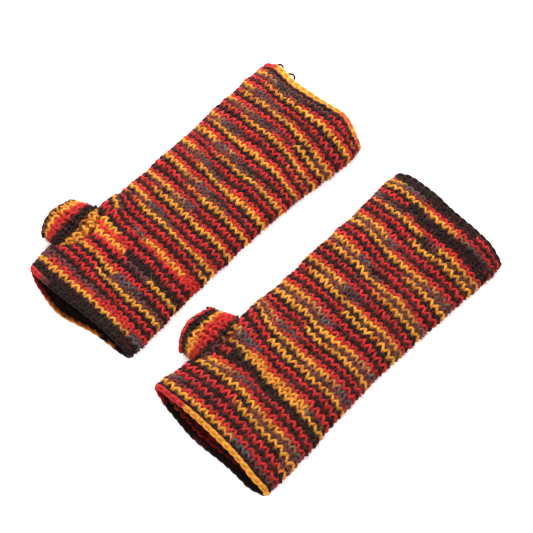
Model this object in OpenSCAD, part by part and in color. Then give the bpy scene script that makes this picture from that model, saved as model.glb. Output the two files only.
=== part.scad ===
// A pair of knitted fingerless gloves lying flat side by side, thumbs to -X.
// Each glove is a tube with its long axis along Y: hand opening at -Y, arm opening at +Y.
// All sizes are in millimetres. The gloves rest on the plane z = 0.

/* [Glove] */
// Length of the knitted tube, without its two edges
tube_l = 229; // [180:1:280]
// Flat width at the wrist, the narrowest place
wrist_w = 92; // [80:1:110]
// Flat width at the hand opening
hand_w = 102; // [90:1:120]
// Flat width at the arm opening
arm_w = 102; // [90:1:130]
// Thickness of a glove lying flat, at the wrist
middle_t = 16; // [15:0.5:20]
// Thickness at the two openings, where the glove gapes
mouth_t = 18; // [15:0.5:24]
// Thickness of the knitted fabric
wall = 3.4; // [2.6:0.1:3.8]
// Distance between the two gloves' centre lines
pair_pitch = 127; // [124:1:160]

/* [Edges] */
// Width of the cast-on and bind-off chains
edge_l = 4.2; // [3:0.1:6]
// How far a chain stands proud of the fabric
edge_proud = 0.5; // [0.2:0.1:1]
// How far the upper layer is drawn back at the hand opening
hand_setback = 5; // [0:0.5:8]
// How far the arm opening is rounded back at its two sides
arm_round = 7; // [0:0.5:10]

/* [Thumb] */
// Flat width of the thumb where it leaves the hand
thumb_root_w = 40; // [34:1:46]
// Flat width of the thumb at its tip
thumb_tip_w = 32; // [26:1:38]
// Thickness of the thumb lying flat
thumb_t = 14; // [13:0.5:15]
// Length of the left thumb from its root to its edge chain
left_thumb_l = 13; // [8:0.5:20]
// Length of the right thumb from its root to its edge chain
right_thumb_l = 16; // [8:0.5:20]
// Distance of the left thumb's root from the glove's middle, towards the hand opening
left_thumb_y = 74; // [55:1:80]
// Distance of the right thumb's root from the glove's middle, towards the hand opening
right_thumb_y = 63; // [55:1:80]
// How far the tip of a thumb leans towards the hand opening
thumb_lean = 3.5; // [0:0.5:6]
// Length of the picked-up ring that is set into the side of the hand
ring_l = 10; // [8:0.5:12]
// Gap between the picked-up ring and the thumb, where the knit flexes
flex_gap = 0.4; // [0.3:0.1:1]

/* [Yarn] */
// Diameter of the yarn
yarn_d = 2; // [1.5:0.1:2.6]
// Outer width of the larger loop of loose yarn at the arm opening
loop_w = 9; // [6:0.5:12]

/* [Hidden] */
left = -1;
right = 1;
// Points round each flattened section, and rings along each tube
round_n = 40;
tube_rings = 12;
// Exponent of the flattened oval, and how much of its underside lies flat
squareness = 2.6;
underside_sag = 1.5;
// Place of the wrist along the tube, and the length over which an end takes its own shape
wrist_y = -10;
end_zone = 45;
// The left glove's two openings run at a slight slant
left_slant = 5;
// Root plane of the thumb, measured from the glove's centre line
thumb_root_x = wrist_w / 2 + 1.8;
thumb_z = thumb_t / 2 + 0.5;
thumb_wall = wall - 0.2;
thumb_edge_l = 0.8 * edge_l;
tail_r = yarn_d / 2 - 0.1;
// Where the loose loops leave the left arm opening, as angles round the flattened section,
// the outer widths of the two loops, and how deep their ends are worked into the chain
loop_angles = [117, 140];
loop_widths = [loop_w, 0.65 * loop_w];
loop_depth = 1.2;
dark_wool = [0.17, 0.11, 0.11];
red_wool = [0.82, 0.14, 0.15];
orange_wool = [0.93, 0.58, 0.13];
maroon_wool = [0.40, 0.17, 0.20];

function power(v, p) = sign(v) * pow(abs(v), p);
function side_of(angle) = power(cos(angle), 2 / squareness);
function height_of(angle) = power(sin(angle), 2 / squareness);

// Share of the way from the wrist to the nearer opening
function reach(y) = y < wrist_y
    ? (wrist_y - y) / (wrist_y + tube_l / 2)
    : (y - wrist_y) / (tube_l / 2 - wrist_y);
function half_w(y) = (wrist_w + ((y < wrist_y ? hand_w : arm_w) - wrist_w) * pow(reach(y), 2)) / 2;
function half_t(y) = (middle_t + (mouth_t - middle_t) * pow(reach(y), 4)) / 2;

// How far a point of the ring moves along Y because its opening is slanted, drawn back or rounded
function hand_shift(angle, glove) =
    hand_setback * pow(max(0, sin(angle)), 1.5)
    + (glove == left ? left_slant * side_of(angle) : 0);
function arm_shift(angle, glove) =
    -arm_round * pow(abs(side_of(angle)), 3)
    + (glove == left ? left_slant * side_of(angle) / 2 : 0);
function shift(y, angle, glove) = y < 0
    ? hand_shift(angle, glove) * pow(max(0, 1 - (y + tube_l / 2) / end_zone), 2)
    : arm_shift(angle, glove) * pow(max(0, 1 - (tube_l / 2 - y) / end_zone), 2);

// One point of the tube: y along it, inset from the outer face, and beyond the end by out
function tube_point(y, inset, angle, glove, out) =
    let (ht = half_t(y), up = height_of(angle))
    let (z = up > 0 ? ht + (ht - inset) * up : ht + (ht - inset + underside_sag) * up)
    [
        (half_w(y) - inset) * side_of(angle),
        y + shift(y, angle, glove) + out,
        max(max(inset, 0), z)
    ];
function tube_ring(y, inset, glove, out = 0) =
    [for (i = [0 : round_n - 1]) tube_point(y, inset, 360 * i / round_n, glove, out)];

function thumb_l(glove) = glove == left ? left_thumb_l : right_thumb_l;
function thumb_y(glove) = glove == left ? left_thumb_y : right_thumb_y;

// One ring of the thumb at distance x from the glove's centre line
function thumb_ring(x, w, inset, glove) =
    let (lean = thumb_lean * (x - thumb_root_x - flex_gap) / (thumb_l(glove) + thumb_edge_l))
    [for (i = [0 : round_n - 1]) let (a = 360 * i / round_n) [
        -x,
        (w / 2 - inset) * side_of(a) - thumb_y(glove) - lean,
        thumb_z + (thumb_t / 2 - inset) * height_of(a)
    ]];

// Middle of the chain's outer face at an arm opening
function arm_chain_point(angle, glove) = tube_point(tube_l / 2, wall / 2, angle, glove, edge_l);
loop_tip_y = arm_chain_point(loop_angles[0], left)[1] - loop_depth + loop_widths[0] / 2;

// Centre of the box round both gloves before it is moved onto the Z axis
centre_x = (arm_w / 2 + edge_proud - thumb_root_x - flex_gap - left_thumb_l - thumb_edge_l) / 2;
centre_y = (loop_tip_y - tube_l / 2 - edge_l - left_slant) / 2;

// A closed wall between a list of outer rings and a list of inner rings
module wall_between(outer, inner) {
    rings = len(outer);
    n = len(outer[0]);
    first_inner = rings * n;
    quads = concat(
        [for (k = [0 : rings - 2], i = [0 : n - 1]) let (j = (i + 1) % n)
            [k * n + i, k * n + j, (k + 1) * n + j, (k + 1) * n + i]],
        [for (k = [0 : rings - 2], i = [0 : n - 1]) let (j = (i + 1) % n)
            [for (v = [k * n + j, k * n + i, (k + 1) * n + i, (k + 1) * n + j]) first_inner + v]],
        [for (i = [0 : n - 1]) let (j = (i + 1) % n)
            [i, first_inner + i, first_inner + j, j]],
        [for (i = [0 : n - 1]) let (j = (i + 1) % n, last = (rings - 1) * n)
            [last + i, last + j, first_inner + last + j, first_inner + last + i]]
    );
    triangles = [for (q = quads) each [[q[0], q[1], q[2]], [q[0], q[2], q[3]]]];
    polyhedron(concat([for (r = outer) each r], [for (r = inner) each r]), triangles, convexity = 6);
}

// Moves a glove's parts to its side of the pair, with the pair's box centred on the Z axis
module on_glove(glove) {
    translate([glove * pair_pitch / 2 - centre_x, -centre_y, 0]) children();
}

// A flat bar with round ends, standing along -X from its root
module thumb_prism(w, t, length) {
    rotate([0, -90, 0]) linear_extrude(length) union() {
        square([t, w - t], center = true);
        translate([0, (w - t) / 2]) circle(d = t, $fn = 48);
        translate([0, (t - w) / 2]) circle(d = t, $fn = 48);
    }
}

// The knitted tube for hand, wrist and forearm, with an opening in its side for the thumb
module hand_and_arm_tube(glove) {
    ys = [for (k = [0 : tube_rings]) -tube_l / 2 + tube_l * k / tube_rings];
    on_glove(glove) difference() {
        wall_between(
            [for (y = ys) tube_ring(y, 0, glove)],
            [for (y = ys) tube_ring(y, wall, glove)]
        );
        translate([ring_l - thumb_root_x, -thumb_y(glove), thumb_z])
            thumb_prism(thumb_root_w, thumb_t, 2 * ring_l);
    }
}

// The chain round an opening: end is -1 at the hand opening and 1 at the arm opening
module opening_edge(glove, end) {
    y = end * tube_l / 2;
    steps = [0, 0.3, 0.75, 1];
    outer_inset = [0, -edge_proud, -edge_proud, wall / 4];
    inner_inset = [wall, wall + edge_proud, wall + edge_proud, wall * 3 / 4];
    order = end < 0 ? [3, 2, 1, 0] : [0, 1, 2, 3];
    on_glove(glove) wall_between(
        [for (k = order) tube_ring(y, outer_inset[k], glove, end * edge_l * steps[k])],
        [for (k = order) tube_ring(y, inner_inset[k], glove, end * edge_l * steps[k])]
    );
}

// The ring of picked-up stitches that joins the thumb to the hand
module thumb_pickup_ring(glove) {
    on_glove(glove) translate([ring_l - thumb_root_x, -thumb_y(glove), thumb_z]) difference() {
        thumb_prism(thumb_root_w, thumb_t, ring_l);
        translate([1, 0, 0]) thumb_prism(thumb_root_w - 2 * wall, thumb_t - 2 * wall, ring_l + 2);
    }
}

// The short thumb, open at its tip
module thumb_tube(glove) {
    start = thumb_root_x + flex_gap;
    shares = [0, 0.5, 1];
    xs = [for (s = shares) start + s * thumb_l(glove)];
    ws = [for (s = shares) thumb_root_w + (thumb_tip_w - thumb_root_w) * s];
    on_glove(glove) wall_between(
        [for (k = [2 : -1 : 0]) thumb_ring(xs[k], ws[k], 0, glove)],
        [for (k = [2 : -1 : 0]) thumb_ring(xs[k], ws[k], thumb_wall, glove)]
    );
}

// The chain round the tip of the thumb
module thumb_edge(glove) {
    start = thumb_root_x + flex_gap + thumb_l(glove);
    xs = [for (s = [0, 0.4, 1]) start + s * thumb_edge_l];
    inset = [0, 0, wall / 4];
    on_glove(glove) wall_between(
        [for (k = [2 : -1 : 0]) thumb_ring(xs[k], thumb_tip_w, inset[k], glove)],
        [for (k = [2 : -1 : 0]) thumb_ring(xs[k], thumb_tip_w, thumb_wall - inset[k], glove)]
    );
}

// Loops of loose yarn where the cast-on end leaves the arm opening
module yarn_tail(glove) {
    on_glove(glove) for (k = [0, 1]) {
        translate(arm_chain_point(loop_angles[k], glove) - [0, loop_depth, 0])
            rotate_extrude(angle = 180, $fn = 32)
                translate([loop_widths[k] / 2 - tail_r, 0]) circle(tail_r, $fn = 16);
    }
}

module left_hand_and_arm_tube() { color(red_wool) hand_and_arm_tube(left); }
module left_hand_opening_edge() { color(maroon_wool) opening_edge(left, -1); }
module left_arm_opening_edge() { color(orange_wool) opening_edge(left, 1); }
module left_thumb_pickup_ring() { color(orange_wool) thumb_pickup_ring(left); }
module left_thumb_tube() { color(dark_wool) thumb_tube(left); }
module left_thumb_edge() { color(maroon_wool) thumb_edge(left); }
module left_yarn_tail() { color(dark_wool) yarn_tail(left); }
module right_hand_and_arm_tube() { color(red_wool) hand_and_arm_tube(right); }
module right_hand_opening_edge() { color(orange_wool) opening_edge(right, -1); }
module right_arm_opening_edge() { color(dark_wool) opening_edge(right, 1); }
module right_thumb_pickup_ring() { color(maroon_wool) thumb_pickup_ring(right); }
module right_thumb_tube() { color(dark_wool) thumb_tube(right); }
module right_thumb_edge() { color(red_wool) thumb_edge(right); }

left_hand_and_arm_tube();
left_hand_opening_edge();
left_arm_opening_edge();
left_thumb_pickup_ring();
left_thumb_tube();
left_thumb_edge();
left_yarn_tail();
right_hand_and_arm_tube();
right_hand_opening_edge();
right_arm_opening_edge();
right_thumb_pickup_ring();
right_thumb_tube();
right_thumb_edge();
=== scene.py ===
"""A pair of hand-knitted fingerless gloves lying flat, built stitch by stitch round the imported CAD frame.

Lengths inside the knitting code are in millimetres, in a glove's own coordinates: x from its centre line,
y along it from its middle (hand opening at -y, arm opening at +y), z up from the surface it lies on.
A place on a tube is u, v: u is the share of the way round it, and v counts its rows of stitches.
"""
import math

import bpy
import numpy as np
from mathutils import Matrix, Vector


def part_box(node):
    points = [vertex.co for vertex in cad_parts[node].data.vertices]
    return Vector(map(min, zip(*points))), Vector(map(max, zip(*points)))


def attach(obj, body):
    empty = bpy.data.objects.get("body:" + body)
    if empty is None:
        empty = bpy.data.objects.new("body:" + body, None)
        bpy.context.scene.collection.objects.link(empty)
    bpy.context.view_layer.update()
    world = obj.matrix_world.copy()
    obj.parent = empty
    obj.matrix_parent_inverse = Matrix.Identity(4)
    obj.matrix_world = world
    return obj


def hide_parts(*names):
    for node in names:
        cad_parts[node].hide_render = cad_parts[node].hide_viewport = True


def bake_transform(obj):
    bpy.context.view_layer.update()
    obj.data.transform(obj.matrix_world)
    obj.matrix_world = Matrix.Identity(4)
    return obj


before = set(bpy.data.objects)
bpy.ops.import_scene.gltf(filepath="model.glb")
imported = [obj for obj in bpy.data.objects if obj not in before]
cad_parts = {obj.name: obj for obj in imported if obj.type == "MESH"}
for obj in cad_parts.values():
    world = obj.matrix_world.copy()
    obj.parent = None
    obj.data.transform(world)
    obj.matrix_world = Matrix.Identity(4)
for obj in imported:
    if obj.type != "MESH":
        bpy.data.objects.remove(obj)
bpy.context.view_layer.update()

MM = 0.001
SCENE = bpy.context.scene

# ---------------- camera, floor and light
CAMERA_AZIMUTH = math.radians(45)
CAMERA_ELEVATION = math.radians(64)
CAMERA_DISTANCE = 0.85
CAMERA_LENS = 85
SENSOR_WIDTH = 36
WORLD_STRENGTH = 0.5
FLOOR_SIZE = 30
FLOOR_GLOW = 0.7
# Round lights that face the origin: name, place, width, power and colour
LIGHTS = (
    ("key", (-0.75, 0.55, 0.8), 0.5, 17.5, (1, 0.98, 0.95)),
    ("fill", (0.5, -0.3, 1.0), 0.7, 3, (0.97, 0.98, 1)),
    ("rim", (-0.9, 0.7, 0.22), 0.4, 11, (1, 1, 1)),
)


def make_camera(target):
    data = bpy.data.cameras.new("camera")
    data.lens = CAMERA_LENS
    data.sensor_width = SENSOR_WIDTH
    camera = bpy.data.objects.new("camera", data)
    SCENE.collection.objects.link(camera)
    level = math.cos(CAMERA_ELEVATION)
    back = np.array([
        math.sin(CAMERA_AZIMUTH) * level,
        -math.cos(CAMERA_AZIMUTH) * level,
        math.sin(CAMERA_ELEVATION),
    ])
    camera.location = target + CAMERA_DISTANCE * back
    camera.rotation_euler = (math.pi / 2 - CAMERA_ELEVATION, 0, CAMERA_AZIMUTH)
    SCENE.camera = camera


def make_light(name, place, width, power, colour):
    data = bpy.data.lights.new(name, "AREA")
    data.shape = "DISK"
    data.size = width
    data.energy = power
    data.color = colour
    light = bpy.data.objects.new(name, data)
    SCENE.collection.objects.link(light)
    light.location = place
    x, y, z = place
    light.rotation_euler = (math.atan2(math.hypot(x, y), z), 0, math.atan2(-y, -x) - math.pi / 2)


def make_world():
    world = bpy.data.worlds.new("studio")
    world.use_nodes = True
    background = world.node_tree.nodes["Background"]
    background.inputs["Color"].default_value = (1, 1, 1, 1)
    background.inputs["Strength"].default_value = WORLD_STRENGTH
    SCENE.world = world
    SCENE.view_settings.view_transform = "Standard"


def make_floor():
    bpy.ops.mesh.primitive_grid_add(x_subdivisions=2, y_subdivisions=2, size=FLOOR_SIZE, location=(0, 0, 0))
    floor = bpy.context.object
    floor.name = "floor"
    material, _ = new_material("pale_floor", {
        "Base Color": (0.8, 0.8, 0.8, 1),
        "Roughness": 0.8,
        "Emission Color": (1, 1, 1, 1),
        "Emission Strength": FLOOR_GLOW,
    })
    floor.data.materials.append(material)


# ---------------- yarn colours
WOOL = {
    "black": (0.021, 0.008, 0.007),
    "grey": (0.115, 0.105, 0.105),
    "orange": (1.0, 0.41, 0.05),
    "red": (0.68, 0.033, 0.03),
    "maroon": (0.16, 0.048, 0.045),
    "flame": (0.92, 0.17, 0.04),    # between orange and red, only in the left glove's arm edge
}
# The dyed yarn's repeat, in knitting order: where each colour ends, as a share of the repeat
DYE_REPEAT = [
    ("black", 0.27), ("grey", 0.315), ("orange", 0.515), ("red", 0.85), ("maroon", 0.945), ("black", 1.0),
]
DYE_BLEND = 0.018                       # how softly the repeat's colours change, in repeats
DYE_JITTER = 0.014                      # how far each stitch strays along the repeat
DYE_DRIFT = ((0.025, 9), (0.012, 1.3))  # slow drift of the repeat: (size, spacing in rows)
HEATHER = 0.23                          # how much maroon is carded into a stitch
HEATHER_MOST = 0.6
THUMB_BLEND = 0.06                      # in rows
EDGE_BLEND = 0.008                      # as a share of the way round
STITCH_SHADE = 0.2                      # how much lighter or darker one stitch is than the next
# painted shade of the sheet behind the loops: its dye is darkened and made redder by these shares
PAINTED_GAP_SHADE = np.array([0.5, 0.3, 0.32])

# Where the wool's colours lie on each glove.
# repeat: rows to one repeat of the dye, and start: where in the repeat the knitting starts.
# slips: (row, shift of the dye in repeats). odd_lengths: (first place, last place, colour), where the yarn
# departs from its repeat; a place is a row and the share of the way round it.
# hand_edge and arm_edge: colours round an edge, with the share of the way round where each ends.
# slack_at: where the arm edge's links are slack. thumb: (colour, rows) from root to tip.
STRIPES = {
    "left": {
        "repeat": 2.5,
        "start": 0.78,
        "slips": [
            (0, -0.3), (3, -0.28), (10, -0.16), (20, -0.2), (22.5, -0.05), (27, 0), (44, 0),
            (47, -0.04), (52, -0.045), (70, -0.04),
        ],
        "odd_lengths": [
            (0, 1.1, "black"), (1.55, 2, "black"), (2, 2.06, "grey"), (2.55, 3, "black"),
            (3, 3.05, "maroon"), (4, 4.2, "red"), (4.2, 4.5, "maroon"), (5, 5.5, "black"),
            (6, 6.5, "red"), (7, 7.5, "black"),
            (8, 8.31, "orange"), (8.31, 8.47, "red"), (9, 9.25, "maroon"), (9.25, 9.45, "black"),
            (10, 10.13, "black"), (10.13, 10.24, "grey"), (10.24, 10.44, "orange"), (11, 11.45, "red"),
            (12, 12.42, "black"), (13, 13.14, "orange"), (13.14, 13.25, "maroon"), (13.25, 13.42, "red"),
            (14, 14.28, "black"), (14.28, 14.42, "orange"), (15, 15.28, "black"), (15.28, 15.45, "red"),
            (16, 16.35, "red"), (16.35, 16.44, "orange"), (17, 17.43, "black"), (18, 18.45, "red"),
            (19, 19.07, "red"), (19.07, 19.27, "orange"), (19.27, 19.34, "grey"), (19.34, 19.43, "black"),
            (19.43, 19.5, "orange"), (20, 20.42, "red"), (20.42, 20.5, "maroon"), (21, 21.5, "black"),
            (57, 57.17, "orange"), (67.16, 67.46, "maroon"), (68.18, 68.46, "black"),
        ],
        "hand_edge": [
            ("black", 0.37), ("maroon", 0.41), ("red", 0.645), ("orange", 0.86), ("black", 0.895),
            ("orange", 0.92), ("black", 1.0),
        ],
        "arm_edge": [
            ("orange", 0.015), ("flame", 0.05), ("orange", 0.08), ("flame", 0.15), ("orange", 0.44),
            ("red", 0.7), ("orange", 0.85), ("flame", 1.0),
        ],
        "slack_at": 0.33,
        "thumb": [
            ("orange", 2.2), ("black", 2.4), ("maroon", 0.4), ("red", 1.9), ("orange", 1.4), ("black", 2),
        ],
        "thumb_edge": "black",
    },
    "right": {
        "repeat": 7 / 3,
        "start": 0.88,
        "slips": [(0, -0.07), (4, -0.05), (25, -0.03), (30, 0), (58, 0), (61.5, -0.2), (70, -0.2)],
        "odd_lengths": [
            (0, 0.6, "black"), (1, 1.11, "maroon"), (1.11, 1.2, "grey"), (13, 13.42, "black"),
            (14, 14.38, "orange"), (15.1, 15.38, "orange"), (20.23, 20.36, "orange"),
            (27.22, 27.3, "orange"), (34.12, 34.25, "orange"), (45.17, 45.3, "black"), (45.3, 45.36, "grey"),
            (52.28, 52.34, "grey"), (52.34, 52.42, "orange"), (55.1, 55.27, "orange"),
            (57.18, 57.245, "maroon"), (59, 59.3, "black"), (60, 60.36, "black"), (61.02, 61.27, "black"),
            (65.12, 65.48, "black"),
        ],
        "hand_edge": [("orange", 0.375), ("red", 0.56), ("black", 0.7), ("maroon", 0.75), ("black", 1.0)],
        "arm_edge": [("black", 0.5), ("black", 1.0)],
        "slack_at": 0.37,
        "thumb": [
            ("orange", 1.2), ("maroon", 0.9), ("black", 0.9), ("red", 2.3), ("orange", 1.1), ("black", 4),
        ],
        "thumb_edge": "red",
    },
}


def blend_bands(place, bands, soft):
    """Colours at each place along bands of (colour, end), mixed over a length of soft at each change."""
    result = np.tile(np.array(WOOL[bands[0][0]]), (len(place), 1))
    for (_, change), (colour, _) in zip(bands[:-1], bands[1:]):
        share = np.clip((place - change) / (2 * soft) + 0.5, 0, 1)[:, None]
        result = result * (1 - share) + np.array(WOOL[colour]) * share
    return result


def repeating_dye(place):
    """Colours of the self-striping yarn, at places counted in whole repeats."""
    wrapped = np.mod(place, 1.0)
    around = [(DYE_REPEAT[-1][0], 0.0)] + DYE_REPEAT + [(DYE_REPEAT[0][0], 1.5)]
    return blend_bands(wrapped, around, DYE_BLEND)


def hand_dye(stripes):
    """Colour function for places along a hand's yarn, counted in rows."""
    rows, shifts = zip(*stripes["slips"])

    def colours(place):
        drift = ripples(place, 0 * place, DYE_DRIFT, seed=3)
        drift = drift + uneven(len(place), STEPS_PER_STITCH, DYE_JITTER, seed=12)
        slipped = np.interp(place, rows, shifts)
        result = repeating_dye(stripes["start"] + place / stripes["repeat"] + slipped + drift)
        heather = uneven(len(place), STEPS_PER_STITCH, HEATHER, seed=13)
        heather = np.clip(heather, 0, HEATHER_MOST)[:, None]
        result = result * (1 - heather) + np.array(WOOL["maroon"]) * heather
        for first, last, colour in stripes["odd_lengths"]:
            result[(place > first) & (place < last)] = WOOL[colour]
        return result

    return colours


def thumb_dye(segments):
    """Colour function for places along a thumb's yarn, counted in rows, from a list of (colour, rows)."""
    bands, end = [], 0
    for colour, rows in segments:
        end += rows
        bands.append((colour, end))
    return lambda place: blend_bands(place, bands, THUMB_BLEND)


# ---------------- unevenness and curves
RIPPLE_WAVES = 6
CORNER_SHIFTS = (-0.12, -0.04, 0.04, 0.12)


def ripple(x, y, size, seed):
    """Smooth noise between about -1 and 1 whose features are size across."""
    rng = np.random.default_rng(seed)
    total = np.zeros(np.broadcast(x, y).shape)
    for _ in range(RIPPLE_WAVES):
        angle, phase = rng.uniform(0, 2 * math.pi, 2)
        rate = 2 * math.pi / size * rng.uniform(0.6, 1.3)
        total = total + np.sin(rate * (x * math.cos(angle) + y * math.sin(angle)) + phase)
    return total / (RIPPLE_WAVES / 2)


def ripples(x, y, layers, seed):
    """Sum of ripples of (height, size), each with the seed after the one before."""
    return sum(height * ripple(x, y, size, seed + k) for k, (height, size) in enumerate(layers))


def uneven(count, spacing, size, seed):
    """Seeded random values about 0 along a yarn, changing every so many steps."""
    rng = np.random.default_rng(seed)
    knots = rng.normal(0, size, count // spacing + 2)
    return np.interp(np.arange(count) / spacing, np.arange(len(knots)), knots)


def power(value, exponent):
    return np.sign(value) * np.abs(value) ** exponent


def ease(share):
    """0 to 1 with a level start and a level end."""
    return share * share * (3 - 2 * share)


def bump_at(value, middle, width):
    """1 at the middle, falling to 0 on both sides over about the width."""
    return np.exp(-((value - middle) / width) ** 2)


def smooth_curve(points, places):
    """Heights at places along a list of (place, height), with its corners rounded off."""
    xs, ys = zip(*points)
    return sum(np.interp(places + shift, xs, ys) for shift in CORNER_SHIFTS) / len(CORNER_SHIFTS)


def soft_floor(z, floor):
    """z kept above floor, without a kink."""
    sharpness = 3
    return floor + np.log1p(np.exp(np.clip((z - floor) * sharpness, -40, 40))) / sharpness


def unit(vectors):
    return vectors / np.linalg.norm(vectors, axis=-1, keepdims=True)


def square_to(vectors, direction):
    """The part of each vector that is square to its unit direction, as a unit vector."""
    return unit(vectors - np.sum(vectors * direction, 1, keepdims=True) * direction)


# ---------------- shape of a glove
TUBE_LENGTH = 229
WRIST_Y = -10
WRIST_PINCH = 5          # how much less the half width is at the wrist
MIDDLE_THINNING = 1      # how much less the half thickness is in the middle
END_ZONE = 45            # the slant and the waves of each end fade out over this length
SQUARENESS = 2.6
UNDERSIDE_SAG = 1.5
TOP_SETTLE = 0.4
LIP_WIDTH = 0.4
SIDE_WAVER = ((0.5, 26), (0.3, 11))     # waves down the sides: (height, size)
WAVER_ACROSS = 5
PUFF = ((0.5, 34), (0.25, 12))          # waves over the top
ROW_WANDER = ((1.1, 70), (0.85, 22))    # waves of the rows
WANDER_HALF_WIDTH = 40                  # the scale on which the rows wander
WANDER_ROW = 3.4
WANDER_FADE = 6                         # it fades out over so many rows at each end
DIP_HALF_WIDTH = 46
FAN_SIZE = 9             # the rows fan out round the thumb, on the arm side of its opening
FAN_PAST_RIM = 4
FAN_LENGTH = 15
FAN_WIDTH = 0.07
HAND_SIDE = 48           # from the centre line to the hand's side at the thumb
STATIONS = 25
FINE_STEPS = 1500
TABLE_STEPS = 241

WALES = 36
SEAM_START = 0.82        # the yarn climbs to the next row over the rest of the way round
YARN_RADIUS = 0.93
LOOP_HEIGHT = 0.76
LOOP_LEAN = 0.27
LOOP_DEPTH = 0.95
FABRIC_INSET = LOOP_DEPTH + YARN_RADIUS + 0.05

THUMB_WALES = 16
THUMB_SHARES = (-0.2, 1.1)              # its shape carries on a little past both ends
THUMB_ROW_HEIGHT = 3.35
THUMB_SQUARENESS = 2.3
THUMB_HALF_THICKNESS = 6.7
THUMB_BULGE = 1.1
THUMB_MIDDLE_Z = 7.8
THUMB_ROOT_CURVE = 5
THUMB_TIP_CURVE = 2.5
THUMB_SWELL = 0.8        # how much more the half width is before the tip than at it
THUMB_SWELL_AT = 0.45
WEB_START = 61           # the web towards the arm begins this far from the glove's centre line
WEB_LENGTH = 13

# What is particular to each glove of the pair, in mm.
# hand_end and arm_end: (place across, shift along) from -1 at the thumb's side to 1 at the other.
# left_side and right_side: (place along, how far the side stands out).
# dips: (x, y, half width, half length, shift along) of stretches where the rows sag or rise.
SHAPES = {
    "left": {
        "rows": 69,
        "setback": 2.5,
        "hand_end": [
            (-1, 1), (-0.85, -2), (-0.6, -2.5), (-0.3, -1.8), (0, 0), (0.5, 2.5), (0.85, 3.5), (1, 5),
        ],
        "lip": (5, -0.15),
        "arm_end": [
            (-1, -8), (-0.9, -4), (-0.75, -3.6), (-0.5, -6.4), (-0.2, -5.2), (0.1, -2.2), (0.4, 0.9),
            (0.6, -0.5), (0.85, -5.5), (1, -9),
        ],
        "left_side": [
            (-115, -7), (-105, -3.5), (-93, 0), (-60, 0), (-50, 0.8), (-42, -2), (-33, -1), (30, -0.3),
            (60, 1.2), (80, 0.4), (95, 0.3), (115, -2),
        ],
        "right_side": [(-115, 0), (-100, 1.4), (-70, 0.9), (-20, 0), (37, -1), (70, 0), (92, 1), (115, -2)],
        "thumb": {
            "y": -74, "cut": 19.5, "depth": 14.5, "tip": 64, "lean": 3,
            "root_half": 20, "tip_half": 17.5, "rows": 9, "back": 4, "web": 6.5,
        },
        "dips": [
            (5, 40, 25, 15, -1.5), (-5, -25, 25, 12, -2), (24, -22, 13, 16, -3), (46, 66, 16, 28, -3.5),
            (0, -106, 16, 9, 2),
        ],
        "seed": 31,
    },
    "right": {
        "rows": 66,
        "setback": 5,
        "hand_end": [(-1, 2.5), (-0.85, 0), (-0.5, 0), (0.5, 0.3), (0.85, -0.5), (1, 3.5)],
        "lip": (2.6, -0.2),
        "arm_end": [
            (-1, -9), (-0.85, -4.6), (-0.6, -4.6), (-0.3, -3.9), (0, -3.6), (0.3, -3.5), (0.6, -4.2),
            (0.85, -5.8), (1, -9.5),
        ],
        "left_side": [
            (-115, 0), (-55, 0), (-40, 1.5), (-26, 0.3), (-15, 0.2), (20, 0.6), (50, -0.4), (95, -1.8),
            (115, -3),
        ],
        "right_side": [
            (-115, 0.5), (-95, 1.8), (-70, 1.9), (-40, 1.2), (0, 0.5), (50, 1.4), (90, 1.6), (103, 1.3),
            (115, -1),
        ],
        "thumb": {
            "y": -64, "cut": 21, "depth": 9, "tip": 66, "lean": 3.5,
            "root_half": 23, "tip_half": 19, "rows": 9, "back": 6, "web": 5.5,
        },
        "dips": [
            (-3, 60, 24, 22, -4), (0, -14, 26, 12, -2.5), (-20, 105, 20, 12, 2), (0, -85, 40, 18, 2),
            (-46, 40, 14, 40, 3),
        ],
        "seed": 47,
    },
}


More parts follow.
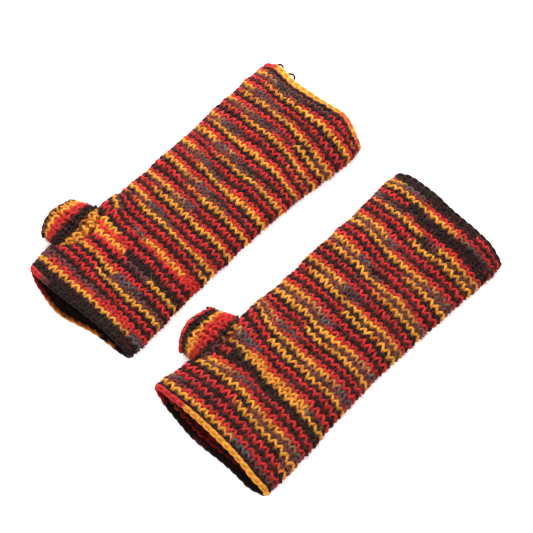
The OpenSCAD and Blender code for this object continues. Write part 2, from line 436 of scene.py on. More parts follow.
class Glove:
    """Outline and mid-surface of one glove, in its own millimetres."""

    def __init__(self, side):
        self.side = side
        self.shape = SHAPES[side]
        low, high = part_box(f"{side}_hand_and_arm_tube")
        # the right tube's hand opening is the one without a slant, so both tubes are measured from there
        start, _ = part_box("right_hand_and_arm_tube")
        self.origin = np.array([(low.x + high.x) / 2, start.y + TUBE_LENGTH * MM / 2, 0])
        self.half_length = TUBE_LENGTH / 2
        self.end_w = (high.x - low.x) / 2 / MM
        self.wrist_w = self.end_w - WRIST_PINCH
        self.end_t = high.z / 2 / MM
        self.middle_t = self.end_t - MIDDLE_THINNING
        self.rows = self.shape["rows"]
        self.row_height = TUBE_LENGTH / self.rows
        self._tabulate()

    def place(self, points):
        """Glove millimetres to metres in the shared frame, with nothing below the surface it lies on."""
        above = np.maximum(points, [-np.inf, -np.inf, 0])
        return above * MM + self.origin

    def reach(self, y):
        """0 at the wrist and 1 at either end."""
        below = (WRIST_Y - y) / (WRIST_Y + self.half_length)
        above = (y - WRIST_Y) / (self.half_length - WRIST_Y)
        return np.where(y < WRIST_Y, below, above)

    def half_width(self, y):
        return self.wrist_w + (self.end_w - self.wrist_w) * self.reach(y) ** 2

    def half_thickness(self, y):
        return self.middle_t + (self.end_t - self.middle_t) * self.reach(y) ** 4

    def end_shift(self, y, across, angle):
        """How far the two openings are slanted, drawn back and rounded."""
        lip, lip_across = self.shape["lip"]
        hand = smooth_curve(self.shape["hand_end"], across)
        hand = hand - lip * bump_at(across, lip_across, LIP_WIDTH) * np.maximum(0, -np.sin(angle)) ** 0.5
        hand = hand * np.maximum(0, 1 - (y + self.half_length) / END_ZONE) ** 2
        arm = smooth_curve(self.shape["arm_end"], across)
        arm = arm * np.maximum(0, 1 - (self.half_length - y) / END_ZONE) ** 2
        drawn_back = self.shape["setback"] * np.maximum(0, np.sin(angle)) ** 1.5
        drawn_back = drawn_back * np.clip(0.5 - y / TUBE_LENGTH, 0, 1)
        return np.where(y < 0, hand, arm) + drawn_back

    def section(self, angle, y):
        """x and z of the fabric's mid-surface, and how far across it is from -1 to 1."""
        across = power(np.cos(angle), 2 / SQUARENESS)
        up = power(np.sin(angle), 2 / SQUARENESS)
        half_t = self.half_thickness(y)
        reach_z = half_t - FABRIC_INSET + np.where(up < 0, UNDERSIDE_SAG, 0)
        z = soft_floor(half_t + reach_z * up, FABRIC_INSET)
        return (self.half_width(y) - FABRIC_INSET) * across, z, across

    def _tabulate(self):
        """Tables of the section angle against the share of the way round, top and underside apart."""
        self.table_y = np.linspace(-self.half_length, self.half_length, STATIONS)
        fine = np.linspace(0, math.pi, FINE_STEPS)
        self.table_share = np.linspace(0, 1, TABLE_STEPS)
        self.table = np.zeros((2, STATIONS, TABLE_STEPS))
        for half, sign in enumerate((1, -1)):
            for k, y in enumerate(self.table_y):
                x, z, _ = self.section(fine * sign, np.full_like(fine, y))
                length = np.concatenate([[0], np.cumsum(np.hypot(np.diff(x), np.diff(z)))])
                self.table[half, k] = np.interp(self.table_share, length / length[-1], fine)

    def angle(self, u, y):
        """Section angle at share u of the way round: 0 at +x, 0.25 on top, 0.5 at -x."""
        u = np.mod(u, 1.0)
        under = u > 0.5
        share = np.where(under, (1 - u) * 2, u * 2)
        row = np.interp(y, self.table_y, np.arange(STATIONS))
        k = np.clip(row.astype(int), 0, STATIONS - 2)
        column = share * (TABLE_STEPS - 1)
        c = np.clip(column.astype(int), 0, TABLE_STEPS - 2)
        fr, fc = row - k, column - c
        half = under.astype(int)
        low = self.table[half, k, c] * (1 - fc) + self.table[half, k, c + 1] * fc
        high = self.table[half, k + 1, c] * (1 - fc) + self.table[half, k + 1, c + 1] * fc
        angle = low * (1 - fr) + high * fr
        return np.where(under, -angle, angle)

    def row_wander(self, u, v):
        """How far the rows stray along the glove from straight."""
        across = np.cos(2 * math.pi * u) * WANDER_HALF_WIDTH
        x = across / WANDER_HALF_WIDTH * DIP_HALF_WIDTH
        y = v * self.row_height - self.half_length
        wander = ripples(across, v * WANDER_ROW, ROW_WANDER, self.shape["seed"] + 5)
        for dip_x, dip_y, width, length, size in self.shape["dips"]:
            wander = wander + size * bump_at(x, dip_x, width) * bump_at(y, dip_y, length)
        thumb = self.shape["thumb"]
        fan = bump_at(y, thumb["y"] + thumb["cut"] + FAN_PAST_RIM, FAN_LENGTH)
        return wander + FAN_SIZE * fan * bump_at(np.mod(u, 1.0), 0.5, FAN_WIDTH)

    def surface(self, u, v):
        """Points of the mid-surface at share u round the tube and row v along it."""
        fade = np.clip(np.minimum(v, self.rows - v) / WANDER_FADE, 0, 1)
        y = v * self.row_height - self.half_length
        angle = self.angle(u, y)
        x, z, across = self.section(angle, y)
        seed = self.shape["seed"]
        x = x + ripples(y, across * WAVER_ACROSS, SIDE_WAVER, seed) * across
        for way, name in ((-1, "left_side"), (1, "right_side")):
            places, sizes = zip(*self.shape[name])
            x = x + way * np.interp(y, places, sizes) * np.maximum(0, way * across) ** 3
        top = np.maximum(0, np.sin(angle))
        z = z + top * ripples(x, y, PUFF, seed + 2) - TOP_SETTLE * top
        y = y + self.end_shift(y, across, angle) + self.row_wander(u, v) * fade
        return np.stack([x, y, z], -1)

    def thumb_hole(self, points):
        """Less than 1 at points inside the thumb's opening in the side of the hand, and 1 on its rim."""
        thumb = self.shape["thumb"]
        inward = np.maximum(0, points[..., 0] + HAND_SIDE) / thumb["depth"]
        return inward ** 2 + ((points[..., 1] - thumb["y"]) / thumb["cut"]) ** 2


class Thumb:
    """A short knitted tube standing out of the hand's side along -x."""

    def __init__(self, glove):
        self.shape = glove.shape["thumb"]
        self.rows = self.shape["rows"]

    def surface(self, u, v):
        """Points of the mid-surface at share u round the thumb and row v from its root."""
        shape = self.shape
        share = np.clip(v / self.rows, *THUMB_SHARES)
        angle = 2 * math.pi * u
        across = power(np.cos(angle), 2 / THUMB_SQUARENESS)
        up = power(np.sin(angle), 2 / THUMB_SQUARENESS)
        widths = [shape["root_half"], shape["tip_half"] + THUMB_SWELL, shape["tip_half"]]
        half_w = np.interp(share, [0, THUMB_SWELL_AT, 1], widths)
        bulge = THUMB_BULGE * np.sin(np.clip(share, 0, 1) * math.pi)
        half_t = THUMB_HALF_THICKNESS + bulge - FABRIC_INSET
        x = (self.rows - v) * THUMB_ROW_HEIGHT - shape["tip"]
        x = x - THUMB_ROOT_CURVE * across ** 2 * (1 - share) + THUMB_TIP_CURVE * across ** 2 * share
        x = x + shape["back"] * np.maximum(0, -across) ** 2 * share
        y = shape["y"] - shape["lean"] * share + (half_w - FABRIC_INSET) * across
        y = y + shape["web"] * np.maximum(0, across) * np.clip((x + WEB_START) / WEB_LENGTH, 0, 1) ** 2
        z = soft_floor(THUMB_MIDDLE_Z + half_t * up, FABRIC_INSET)
        return np.stack([x, y, z], -1)


# ---------------- materials
# the sheet behind the loops has its material darkened further to this share, as painted shade
BACKING_PAINTED_SHADE = 0.6
SHEEN = 0.09
FIBRE_SHEEN = 0.08


def new_material(name, sockets):
    """A material with its shader's sockets set, and the shader."""
    material = bpy.data.materials.new(name)
    material.use_nodes = True
    shader = material.node_tree.nodes["Principled BSDF"]
    for socket, value in sockets.items():
        shader.inputs[socket].default_value = value
    return material, shader


def add_node(material, kind, sockets):
    node = material.node_tree.nodes.new(f"ShaderNode{kind}")
    for socket, value in sockets.items():
        node.inputs[socket].default_value = value
    return node


def add_math(material, operation, sockets):
    node = add_node(material, "Math", sockets)
    node.operation = operation
    return node


def add_attribute(material, name):
    node = add_node(material, "Attribute", {})
    node.attribute_name = name
    return node


def link(material, source, output, target, socket):
    material.node_tree.links.new(source.outputs[output], target.inputs[socket])


def dyed_colour(material, shader, place, tint):
    """The mesh's dye with its painted shade, made lighter and darker in fine flecks and scaled by tint."""
    dye = add_attribute(material, "wool")
    flecks = add_node(material, "TexNoise", {"Scale": 900, "Detail": 3})
    spread = add_node(material, "MapRange", {
        "From Min": 0.3, "From Max": 0.7, "To Min": 0.62 * tint, "To Max": 1.3 * tint,
    })
    shade = add_node(material, "VectorMath", {})
    shade.operation = "SCALE"
    link(material, place, "Object", flecks, "Vector")
    link(material, flecks, "Fac", spread, "Value")
    link(material, dye, "Color", shade, 0)
    link(material, spread, "Result", shade, "Scale")
    link(material, shade, "Vector", shader, "Base Color")


def plied_relief(material, shader, place):
    """Bump from three plies that wind round the yarn, with fibres over them."""
    along = add_attribute(material, "along")
    around = add_attribute(material, "around")
    winding = add_math(material, "MULTIPLY_ADD", {1: 2.2})
    plies = add_math(material, "MULTIPLY", {1: 3})
    groove = add_math(material, "SINE", {})
    fibres = add_node(material, "TexNoise", {"Scale": 3500, "Detail": 4})
    relief = add_math(material, "MULTIPLY_ADD", {1: 0.5})
    bump = add_node(material, "Bump", {"Strength": 0.5, "Distance": 0.0003})
    link(material, along, "Fac", winding, 0)
    link(material, around, "Fac", winding, 2)
    link(material, winding, "Value", plies, 0)
    link(material, plies, "Value", groove, 0)
    link(material, place, "Object", fibres, "Vector")
    link(material, groove, "Value", relief, 0)
    link(material, fibres, "Fac", relief, 2)
    link(material, relief, "Value", bump, "Height")
    link(material, bump, "Normal", shader, "Normal")


def wool_material(name, tint, sheen):
    """Plied wool coloured by the mesh's dye with its painted shade; a tint below 1 darkens it all as painted
    shade.
    """
    material, shader = new_material(name, {
        "Roughness": 0.88,
        "Specular IOR Level": 0.12,
        "Sheen Weight": sheen,
        "Sheen Roughness": 0.5,
        "Sheen Tint": (1, 0.9, 0.85, 1),
    })
    place = add_node(material, "TexCoord", {})
    dyed_colour(material, shader, place, tint)
    plied_relief(material, shader, place)
    return material


def fibre_material(colour):
    """Loose fibres of one dye colour, some a little lighter or darker than others."""
    material, shader = new_material(f"{colour}_fibre", {
        "Roughness": 0.8,
        "Specular IOR Level": 0.15,
        "Sheen Weight": FIBRE_SHEEN,
    })
    place = add_node(material, "TexCoord", {})
    noise = add_node(material, "TexNoise", {"Scale": 600})
    shades = add_node(material, "ValToRGB", {})
    dark, light = shades.color_ramp.elements
    dark.position = 0.35
    dark.color = (*(0.8 * value for value in WOOL[colour]), 1)
    light.position = 0.65
    light.color = (*(min(1, 1.5 * value + 0.02) for value in WOOL[colour]), 1)
    link(material, place, "Object", noise, "Vector")
    link(material, noise, "Fac", shades, "Fac")
    link(material, shades, "Color", shader, "Base Color")
    return material


PLIED_WOOL = wool_material("plied_wool", 1.0, SHEEN)
SHADED_BACKING_WOOL = wool_material("shaded_backing_wool", BACKING_PAINTED_SHADE, 0.0)
FIBRE_MATERIALS = {colour: fibre_material(colour) for colour in ("black", "red", "maroon", "orange")}

# ---------------- yarn as mesh
YARN_SIDES = 8
YARN_UNEVENNESS = 0.09
STEPS_PER_STITCH = 20
STITCH_STRAY = 0.07      # how far points of the yarn stray from their place, in stitches and in rows
SMALL_U = 0.004
SMALL_V = 0.08
DEEPEST = -1.1           # painted shade is darkest here, measured from the mid-surface
DEPTH_RANGE = 2.4
# painted shade at its darkest, made redder by these exponents for red, green and blue
DEEP_SHADE = 0.24
DEEP_TINT = np.array([0.75, 1.3, 1.2])


def frame_on(surface, u, v):
    """Points of a surface at u, v and the outward normals there."""
    along_u = surface(u + SMALL_U, v) - surface(u - SMALL_U, v)
    along_v = surface(u, v + SMALL_V) - surface(u, v - SMALL_V)
    return surface(u, v), unit(np.cross(along_v, along_u))


def painted_depth_shade(height):
    """Painted shade: wool deep between the loops and on the yarn's inner side is darker and redder; height
    is above the mid-surface.
    """
    share = np.clip((height - DEEPEST) / DEPTH_RANGE, 0, 1)
    shade = DEEP_SHADE + (1 - DEEP_SHADE) * ease(share)
    return shade[:, None] ** DEEP_TINT


def make_mesh(name, verts, faces, attributes, material):
    """A smooth-shaded object of the faces' own vertices, with colours and values stored at its vertices."""
    used = np.unique(np.fromiter((i for f in faces for i in f), int))
    renumber = np.full(len(verts), -1)
    renumber[used] = np.arange(len(used))
    faces = [[int(renumber[i]) for i in f] for f in faces]
    mesh = bpy.data.meshes.new(name)
    mesh.from_pydata(verts[used].tolist(), [], faces)
    mesh.polygons.foreach_set("use_smooth", [True] * len(faces))
    for key, values in attributes.items():
        if values.ndim == 2:
            layer = mesh.color_attributes.new(key, "FLOAT_COLOR", "POINT")
            colour = np.ones((len(used), 4), np.float32)
            colour[:, :3] = values[used]
            layer.data.foreach_set("color", colour.ravel())
        else:
            layer = mesh.attributes.new(key, "FLOAT", "POINT")
            layer.data.foreach_set("value", values[used].astype(np.float32))
    mesh.materials.append(material)
    mesh.update()
    piece = bpy.data.objects.new(name, mesh)
    SCENE.collection.objects.link(piece)
    return piece


def ring_turns():
    return np.arange(YARN_SIDES) * 2 * math.pi / YARN_SIDES


def ring_directions(tangent, up):
    """Directions from a yarn's middle to the corners of its rings, starting from up."""
    turn = ring_turns()
    first = square_to(up, tangent)
    second = np.cross(tangent, first)
    return first[:, None] * np.cos(turn)[None, :, None] + second[:, None] * np.sin(turn)[None, :, None]


def ring_quads(start, after):
    """Quads that join each ring of start to its ring of after."""
    side = np.arange(YARN_SIDES)
    beside = (side + 1) % YARN_SIDES
    near, far = start[:, None] * YARN_SIDES, after[:, None] * YARN_SIDES
    return np.stack([near + side, near + beside, far + beside, far + side], -1).reshape(-1, 4)


def yarn_mesh(name, yarn, radius, colours, glove, keep=None, split_at=None):
    """A yarn swept along its points, as one mesh. keep says which rings are made.

    split_at is the number of points in each length, where the points are of separate lengths of yarn.
    """
    points, normals = yarn["points"], yarn["normals"]
    count = len(points)
    ring = ring_directions(unit(np.gradient(points, axis=0)), normals)
    thickness = uneven(count, STEPS_PER_STITCH // 3, YARN_UNEVENNESS, glove.shape["seed"])
    radius = radius * (1 + thickness)[:, None]
    verts = points[:, None] + ring * radius[..., None]
    height = yarn["depth"][:, None] + radius * np.sum(ring * normals[:, None], -1)
    start = np.arange(count - 1)
    if split_at:
        start = start[(start + 1) % split_at > 0]
    after = start + 1
    if keep is not None:
        linked = keep[start] & keep[after]
        start, after = start[linked], after[linked]
    faces = ring_quads(start, after).tolist()
    # close the yarn wherever a kept stretch begins or ends
    begins = start[~np.isin(start, after)]
    ends = after[~np.isin(after, start)]
    faces += [[int(k) * YARN_SIDES + s for s in reversed(range(YARN_SIDES))] for k in begins]
    faces += [[int(k) * YARN_SIDES + s for s in range(YARN_SIDES)] for k in ends]
    along = np.cumsum(np.linalg.norm(np.diff(points, axis=0, prepend=points[:1]), axis=1))
    attributes = {
        # the dye, darker and redder on the yarn's inner side and where it lies deep, as painted shade
        "wool": np.repeat(colours, YARN_SIDES, 0) * painted_depth_shade(height.ravel()),
        "along": np.repeat(along, YARN_SIDES),
        "around": np.tile(ring_turns(), count),
    }
    return make_mesh(name, glove.place(verts.reshape(-1, 3)), faces, attributes, PLIED_WOOL)


# ---------------- knitting
# Unevenness of the loops: how much, how far each row differs from the next, size in stitches, and seed
LEAN_RIPPLE = (0.2, 7.3, 3.1, 5)
HEIGHT_RIPPLE = (0.12, 9.1, 2.7, 6)
DEPTH_RIPPLE = (0.15, 5.7, 1.9, 7)
LOOP_TILT = 0.1          # the tops of the loops lie this much deeper, and their feet higher


def loop_ripple(place, row, much, row_step, size, seed):
    return much * ripple(place, row * row_step, size, seed)


def stockinette(surface, wales, rows, tuck):
    """One continuous yarn knitted in the round. tuck says how far points are drawn in under the surface."""
    place = np.arange(wales * rows * STEPS_PER_STITCH + 1) / STEPS_PER_STITCH
    row = np.floor(place / wales)
    share = place / wales - row
    climb = ease(np.clip((share - SEAM_START) / (1 - SEAM_START), 0, 1))
    turn = 2 * math.pi * place
    lean = LOOP_LEAN * (1 + loop_ripple(place, row, *LEAN_RIPPLE))
    height = LOOP_HEIGHT * (1 + loop_ripple(place, row, *HEIGHT_RIPPLE))
    stray_u = uneven(len(place), STEPS_PER_STITCH // 2, STITCH_STRAY, seed=8)
    stray_v = uneven(len(place), STEPS_PER_STITCH // 2, STITCH_STRAY, seed=9)
    u = (place + lean * np.sin(2 * turn) + stray_u) / wales
    v = row + climb + 0.5 + height * np.cos(turn) + stray_v
    point, normal = frame_on(surface, u, v)
    depth = -LOOP_DEPTH * np.cos(2 * turn) - LOOP_TILT * np.cos(turn)
    depth = depth + loop_ripple(place, row, *DEPTH_RIPPLE) - tuck(point)
    points = point + normal * depth[:, None]
    return {"points": points, "normals": normal, "depth": depth, "place": row + share}


# ---------------- loose fibres
FIBRES_PER_STITCH = 28
FIBRES_PER_PIECE = 18000
FIBRE_LENGTH = 2.7
FIBRE_SPREAD = 0.4
FIBRE_LEAST = 1
FIBRE_MOST = 1.7 * FIBRE_LENGTH
FIBRE_RADIUS = 0.065
FIBRE_STAND = (0.2, 1)   # how much a fibre stands up for as much as it lies along the fabric
FIBRE_CURL = 0.85
FIBRE_DROOP = 0.6
FIBRE_SIDES = 3
FIBRE_RINGS = ((0, 1), (0.55, 0.85))    # (share of the fibre, share of its radius)
FIBRE_DEPTH = -0.3       # fibres leave only the yarn above this, measured from the mid-surface
FIBRE_ROOT = 0.9         # how far out in the yarn they start, as a share of its radius
FUZZ_SEED = 90
STRAY_FIBRES = 0.14      # the share of fibres that are of another colour than their yarn
STRAY_COLOURS = (0, 1, 2, 2)            # which of the fibre materials the strays are drawn from


def fibre_faces(count):
    """Faces of so many fibres, each a ring, a second ring and a tip."""
    sides = range(FIBRE_SIDES)
    one = [list(reversed(sides))]
    one += [[c, (c + 1) % FIBRE_SIDES, FIBRE_SIDES + (c + 1) % FIBRE_SIDES, FIBRE_SIDES + c] for c in sides]
    one += [[FIBRE_SIDES + c, FIBRE_SIDES + (c + 1) % FIBRE_SIDES, 2 * FIBRE_SIDES] for c in sides]
    corners = 2 * FIBRE_SIDES + 1
    return [[k * corners + corner for corner in face] for k in range(count) for face in one]


def fibre_mesh(name, roots, normals, material, glove, seed):
    """Loose fibres: thin tapering hairs that leave the yarn at roots and curl over the fabric."""
    rng = np.random.default_rng(seed)
    count = len(roots)
    level = square_to(rng.normal(size=(count, 3)), normals)
    direction = unit(level + normals * rng.uniform(*FIBRE_STAND, (count, 1)))
    length = rng.lognormal(math.log(FIBRE_LENGTH), FIBRE_SPREAD, (count, 1))
    length = np.clip(length, FIBRE_LEAST, FIBRE_MOST)
    curl = FIBRE_CURL * rng.normal(size=(count, 3)) - FIBRE_DROOP * normals
    aside = unit(np.cross(direction, rng.normal(size=(count, 3))))
    upright = np.cross(direction, aside)
    verts = []
    for share, taper in FIBRE_RINGS:
        centre = roots + (direction * share + curl * share * share / 2) * length
        centre[:, 2] = np.maximum(centre[:, 2], 2 * FIBRE_RADIUS)
        for angle in np.arange(FIBRE_SIDES) * 2 * math.pi / FIBRE_SIDES:
            outward = aside * math.cos(angle) + upright * math.sin(angle)
            verts.append(centre + outward * FIBRE_RADIUS * taper)
    tip = roots + (direction + curl / 2) * length
    tip[:, 2] = np.maximum(tip[:, 2], 2 * FIBRE_RADIUS)
    verts.append(tip)
    verts = np.stack(verts, 1).reshape(-1, 3)
    return make_mesh(name, glove.place(verts), fibre_faces(count), {}, material)


def fibre_roots(yarn, at, rng):
    """Places on the outer side of the yarn at its points at, and the normals there."""
    tangent = unit(np.gradient(yarn["points"], axis=0)[at])
    normal = yarn["normals"][at]
    aside = np.cross(tangent, normal)
    lean = rng.uniform(-1, 1, (len(at), 1))
    outward = normal * np.cos(lean) + aside * np.sin(lean)
    return yarn["points"][at] + outward * YARN_RADIUS * FIBRE_ROOT, normal


def fuzz(name, yarn, colours, keep, glove, body=None, blend=None):
    """Fibres standing off a yarn, as pieces for each of its main colours."""
    rng = np.random.default_rng(glove.shape["seed"] + FUZZ_SEED)
    count = int(keep.sum() / STEPS_PER_STITCH * FIBRES_PER_STITCH)
    at = rng.choice(np.flatnonzero(keep & (yarn["depth"] > FIBRE_DEPTH)), count)
    roots, normal = fibre_roots(yarn, at, rng)
    tints = np.array([WOOL[colour] for colour in FIBRE_MATERIALS])
    nearest = np.argmin(np.linalg.norm(colours[at][:, None] - tints[None], axis=2), 1)
    strays = rng.random(count) < STRAY_FIBRES
    nearest[strays] = rng.choice(STRAY_COLOURS, strays.sum())
    pieces = []
    for k, (colour, material) in enumerate(FIBRE_MATERIALS.items()):
        chosen = np.flatnonzero(nearest == k)
        for part, share in enumerate(np.array_split(chosen, math.ceil(len(chosen) / FIBRES_PER_PIECE))):
            seed = glove.shape["seed"] + 10 * part + k
            piece_name = f"{name}_{colour}_fibres_{part + 1}"
            piece = fibre_mesh(piece_name, roots[share], normal[share], material, glove, seed)
            pieces.append(keep_piece(piece, "striped_wool", body, blend))
    return pieces


# ---------------- chains round the openings
CHAIN_RADIUS = 1.15
CHAIN_HALF_WIDTH = 1.45
CHAIN_STEPS = 18
CHAIN_SMALL_V = 0.1
LINK_LENGTH = 1.4        # as a share of the distance from one link to the next
LINK_TAPER = 1.1
LINK_LIFT = 0.5          # as a share of the yarn's radius
LINK_ALONG = 5.0         # length of yarn in a link and in a step, which its plies wind along
STEP_ALONG = 0.6
SLACK_WIDTH = 0.11       # the share of the way round where links are slack
SLACK_SWING = 0.3        # how much wider, further out and thicker they are
SLACK_SHIFT = 0.8
SLACK_RADIUS = 0.45


def link_rings(surface, u, v, end, lean, swing, lift, slack):
    """Rings of vertices of one link, whose yarn goes round by u."""
    level = np.full_like(u, v)
    base, normal = frame_on(surface, u, level)
    ahead = unit(surface(u + SMALL_U, level) - surface(u - SMALL_U, level))
    out = surface(u, level + CHAIN_SMALL_V * end) - surface(u, level - CHAIN_SMALL_V * end)
    out = square_to(out, ahead)
    flat = normal * math.cos(lean) + out * math.sin(lean)
    across = out * math.cos(lean) - normal * math.sin(lean)
    sideways = swing * (1 + SLACK_SWING * slack) + SLACK_SHIFT * slack
    centre = base + across * sideways[:, None] + flat * lift[:, None]
    tangent = unit(np.roll(centre, -1, 0) - np.roll(centre, 1, 0))
    return centre[:, None] + ring_directions(tangent, flat) * CHAIN_RADIUS * (1 + SLACK_RADIUS * slack)


def chain(name, surface, links, v, end, lean, colour_of, glove, wide_at=None):
    """A chain of teardrop links round a tube's end, tipped by lean degrees from the fabric.

    end is -1 at the end where v falls and 1 at the other. wide_at is the share of the way round where the
    links are slack and wide.
    """
    lean = math.radians(lean)
    s = np.linspace(0, 2 * math.pi, CHAIN_STEPS, endpoint=False)
    swing = np.sin(s) * np.abs(np.sin(s / 2)) ** LINK_TAPER * CHAIN_HALF_WIDTH
    lift = -LINK_LIFT * np.cos(s) * CHAIN_RADIUS
    # painted shade: each link is darker on its underside and at its sunk end
    height = lift[:, None] / CHAIN_RADIUS / 2 + np.cos(ring_turns())[None, :]
    shade = painted_depth_shade(height.ravel())
    step = np.arange(CHAIN_STEPS)
    link_quads = ring_quads(step, (step + 1) % CHAIN_STEPS)
    verts, colours, alongs, faces = [], [], [], []
    for k in range(links):
        u = (k + LINK_LENGTH / 2 * (1 - np.cos(s))) / links
        slack = 0 if wide_at is None else math.exp(-((u[0] - wide_at) / SLACK_WIDTH) ** 4)
        verts.append(link_rings(surface, u, v, end, lean, swing, lift, slack).reshape(-1, 3))
        colours.append(np.repeat(colour_of(u), YARN_SIDES, 0) * shade)
        alongs.append(np.repeat(step * STEP_ALONG + k * LINK_ALONG, YARN_SIDES))
        faces += (link_quads + k * CHAIN_STEPS * YARN_SIDES).tolist()
    attributes = {
        "wool": np.concatenate(colours),
        "along": np.concatenate(alongs),
        "around": np.tile(ring_turns(), CHAIN_STEPS * links),
    }
    return make_mesh(name, glove.place(np.concatenate(verts)), faces, attributes, PLIED_WOOL)


# ---------------- a sheet behind the loops, darkened as painted shade
BACKING_DEPTH = 0.25
BACKING_THICKNESS = 0.7
HAND_COLUMNS = 108
THUMB_COLUMNS = 64


def shaded_backing_sheet(name, surface, u_count, rows, dye, glove, keep):
    """The sheet behind the loops, in the yarn's dye darkened and reddened as painted shade so that the gaps
    between loops read as shadow.
    """
    uu, vv = np.meshgrid(np.arange(u_count) / u_count, rows)
    uu, vv = uu.ravel(), vv.ravel()
    point, normal = frame_on(surface, uu, vv)
    point = point - normal * BACKING_DEPTH
    column = np.arange(u_count)
    beside = (column + 1) % u_count
    start = np.arange(len(rows) - 1)[:, None] * u_count
    after = start + u_count
    quads = np.stack([start + column, after + column, after + beside, start + beside], -1).reshape(-1, 4)
    quads = quads[keep(point)[quads].all(1)]
    attributes = {
        # the dye darkened as painted shade
        "wool": dye(np.floor(vv) + uu) * PAINTED_GAP_SHADE,
        "along": np.zeros(len(point)),
        "around": np.zeros(len(point)),
    }
    sheet = make_mesh(name, glove.place(point), quads.tolist(), attributes, SHADED_BACKING_WOOL)
    thickness = sheet.modifiers.new("thickness", "SOLIDIFY")
    thickness.thickness = BACKING_THICKNESS * MM
    thickness.offset = -1
    return sheet


# ---------------- building a glove
HAND_EDGE_SLOTS = {"left": "maroon_wool", "right": "orange_wool"}
ARM_EDGE_SLOTS = {"left": "orange_wool", "right": "dark_wool"}
THUMB_EDGE_SLOTS = {"left": "dark_wool", "right": "red_wool"}
KNIT_PIECES = 4
RIM_TUCK = 1.5           # how far yarn is drawn in at the thumb opening's rim
RIM_TUCK_REACH = 0.3
RIM_BARE = 1.1           # nearer the rim than this there are no fibres on the hand
HAND_SHEET_RIM = 0.85    # how far the backing sheets run past the rim, on the thumb_hole scale
THUMB_SHEET_RIM = 1.15
HAND_EDGE_ROW = -0.15
HAND_EDGE_LEAN = 45
ARM_EDGE_PAST_END = 0.5
THUMB_EDGE_ROW = -0.1    # from the thumb's last row
THUMB_EDGE_LEAN = 45
SHEET_END = 0.1
HINGE_X = 47.8
BLEND_Z = 7
BLEND_BEFORE = 6         # the thumb's pieces are blended from this far inside the hinge
BLEND_PAST = 3           # to this far outside it
TAIL_LOOPS = [(-0.5, 8), (-0.74, 5.5)]  # (place across the arm opening, width)
TAIL_RADIUS = 0.75
TAIL_STEPS = 24
TAIL_HEIGHT = 0.6        # a loop's height as a share of its width
TAIL_TILT = 0.5
TAIL_PAST_END = 1.1      # rows past the last that the loops start
TAIL_OVERRUN = 0.15      # how much more than half a turn each loop goes at both ends


def keep_piece(piece, slot, body=None, blend=None):
    """Attach a piece to its body, or, where a blend crossing is given, bake its transform into its mesh
    instead. slot is not used.
    """
    if blend:
        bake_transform(piece)
    else:
        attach(piece, body)
    return piece


def rim_tuck(glove, points):
    """How far yarn at the points is drawn in because the rim of the thumb's opening is near."""
    near = np.clip(1 - np.abs(glove.thumb_hole(points) - 1) / RIM_TUCK_REACH, 0, 1)
    return RIM_TUCK * ease(near)


def knit_hand(glove, dye):
    """The hand's knitting and its fuzz."""
    side = glove.side
    body = f"{side}_glove"
    yarn = stockinette(glove.surface, WALES, glove.rows, lambda points: rim_tuck(glove, points))
    hole = glove.thumb_hole(yarn["points"])
    keep = hole > 1
    shade = uneven(len(keep), STEPS_PER_STITCH // 2, STITCH_SHADE, glove.shape["seed"])
    colours = dye(yarn["place"]) * (1 + shade)[:, None]
    edges = np.linspace(0, len(keep) - 1, KNIT_PIECES + 1).astype(int)
    pieces = []
    for k in range(KNIT_PIECES):
        part = slice(edges[k], edges[k + 1] + 1)
        length = {key: values[part] for key, values in yarn.items()}
        name = f"{side}_knit_rows_{k + 1}"
        piece = yarn_mesh(name, length, YARN_RADIUS, colours[part], glove, keep[part])
        pieces.append(keep_piece(piece, "striped_wool", body))
    return pieces + fuzz(body, yarn, colours, keep & (hole > RIM_BARE), glove, body=body)


def hand_edges(glove, stripes):
    """The chains round the hand and arm openings."""
    side = glove.side
    pieces = []
    for name, row, end, lean, slot, wide_at in (
        ("hand", HAND_EDGE_ROW, -1, HAND_EDGE_LEAN, HAND_EDGE_SLOTS[side], None),
        ("arm", glove.rows + ARM_EDGE_PAST_END, 1, 0, ARM_EDGE_SLOTS[side], stripes["slack_at"]),
    ):
        bands = stripes[f"{name}_edge"]
        piece = chain(
            f"{side}_{name}_opening_edge_chain", glove.surface, WALES, row, end, lean,
            lambda u, bands=bands: blend_bands(np.mod(u, 1.0), bands, EDGE_BLEND), glove, wide_at)
        pieces.append(keep_piece(piece, slot, f"{side}_glove"))
        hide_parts(f"{side}_{name}_opening_edge")
    return pieces


def build_hand(glove, stripes):
    side = glove.side
    dye = hand_dye(stripes)
    pieces = knit_hand(glove, dye) + hand_edges(glove, stripes)
    sheet = shaded_backing_sheet(
        f"{side}_fabric", glove.surface, HAND_COLUMNS,
        np.linspace(SHEET_END, glove.rows - SHEET_END, 2 * glove.rows), dye, glove,
        lambda points: glove.thumb_hole(points) > HAND_SHEET_RIM)
    keep_piece(sheet, "striped_wool", f"{side}_glove")
    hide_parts(f"{side}_hand_and_arm_tube")


def thumb_crossing(glove):
    """The bodies that a thumb's pieces join, and where the blend from one to the other starts and ends."""
    hinge_x = glove.origin[0] - HINGE_X * MM
    hinge_y = glove.origin[1] + glove.shape["thumb"]["y"] * MM
    start = (hinge_x + BLEND_BEFORE * MM, hinge_y, BLEND_Z * MM)
    end = (hinge_x - BLEND_PAST * MM, hinge_y, BLEND_Z * MM)
    return f"{glove.side}_glove", f"{glove.side}_thumb", start, end


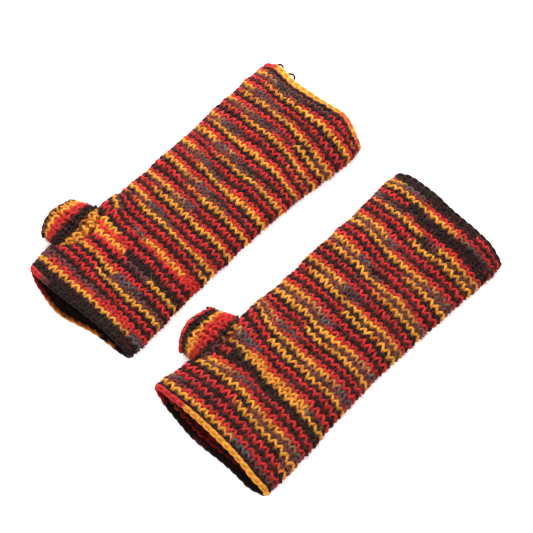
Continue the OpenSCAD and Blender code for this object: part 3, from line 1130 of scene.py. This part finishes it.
def build_thumb(glove, stripes):
    side = glove.side
    thumb = Thumb(glove)
    crossing = thumb_crossing(glove)
    dye = thumb_dye(stripes["thumb"])
    yarn = stockinette(thumb.surface, THUMB_WALES, thumb.rows, lambda points: rim_tuck(glove, points))
    keep = (glove.thumb_hole(yarn["points"]) < 1) | (yarn["points"][:, 0] < -HAND_SIDE)
    colours = dye(yarn["place"])
    knit = yarn_mesh(f"{side}_thumb_knit", yarn, YARN_RADIUS, colours, glove, keep)
    pieces = [keep_piece(knit, "striped_wool", blend=crossing)]
    pieces += fuzz(f"{side}_thumb", yarn, colours, keep, glove, blend=crossing)
    sheet = shaded_backing_sheet(
        f"{side}_thumb_fabric", thumb.surface, THUMB_COLUMNS,
        np.linspace(SHEET_END, thumb.rows - SHEET_END, 3 * thumb.rows), dye, glove,
        lambda points: (glove.thumb_hole(points) < THUMB_SHEET_RIM) | (points[:, 0] < -HAND_SIDE))
    keep_piece(sheet, "striped_wool", blend=crossing)
    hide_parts(f"{side}_thumb_tube", f"{side}_thumb_pickup_ring")
    edge_wool = np.array(WOOL[stripes["thumb_edge"]])
    tip = chain(
        f"{side}_thumb_edge_chain", thumb.surface, THUMB_WALES, thumb.rows + THUMB_EDGE_ROW, 1,
        THUMB_EDGE_LEAN, lambda u: np.tile(edge_wool, (len(u), 1)), glove)
    pieces.append(keep_piece(tip, THUMB_EDGE_SLOTS[side], blend=crossing))
    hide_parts(f"{side}_thumb_edge")


def build_tail(glove):
    """The loose end of yarn, which shows as two small loops past the arm opening's edge."""
    points = []
    for across, width in TAIL_LOOPS:
        share = 0.25 - 0.25 * across
        foot = glove.surface(np.array([share]), np.array([glove.rows + TAIL_PAST_END]))[0]
        turn = np.linspace(-TAIL_OVERRUN, math.pi + TAIL_OVERRUN, TAIL_STEPS)
        x, y = np.cos(turn) * width / 2, np.sin(turn) * width * TAIL_HEIGHT
        points.append(foot + np.stack([x, y, TAIL_TILT * np.cos(turn)], 1))
    points = np.concatenate(points)
    count = len(points)
    yarn = {"points": points, "normals": np.tile([0.0, 0.0, 1.0], (count, 1)), "depth": np.ones(count)}
    colours = np.tile(WOOL["black"], (count, 1))
    piece = yarn_mesh("left_yarn_tail_loops", yarn, TAIL_RADIUS, colours, glove, split_at=TAIL_STEPS)
    keep_piece(piece, "dark_wool", "left_glove")
    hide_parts("left_yarn_tail")


GLOVES = {side: Glove(side) for side in ("left", "right")}
MIDDLE_X = (GLOVES["left"].origin[0] + GLOVES["right"].origin[0]) / 2
make_camera(np.array([MIDDLE_X, GLOVES["right"].origin[1], 0]))
make_world()
for light in LIGHTS:
    make_light(*light)
make_floor()

for side, glove in GLOVES.items():
    build_hand(glove, STRIPES[side])
    build_thumb(glove, STRIPES[side])
build_tail(GLOVES["left"])
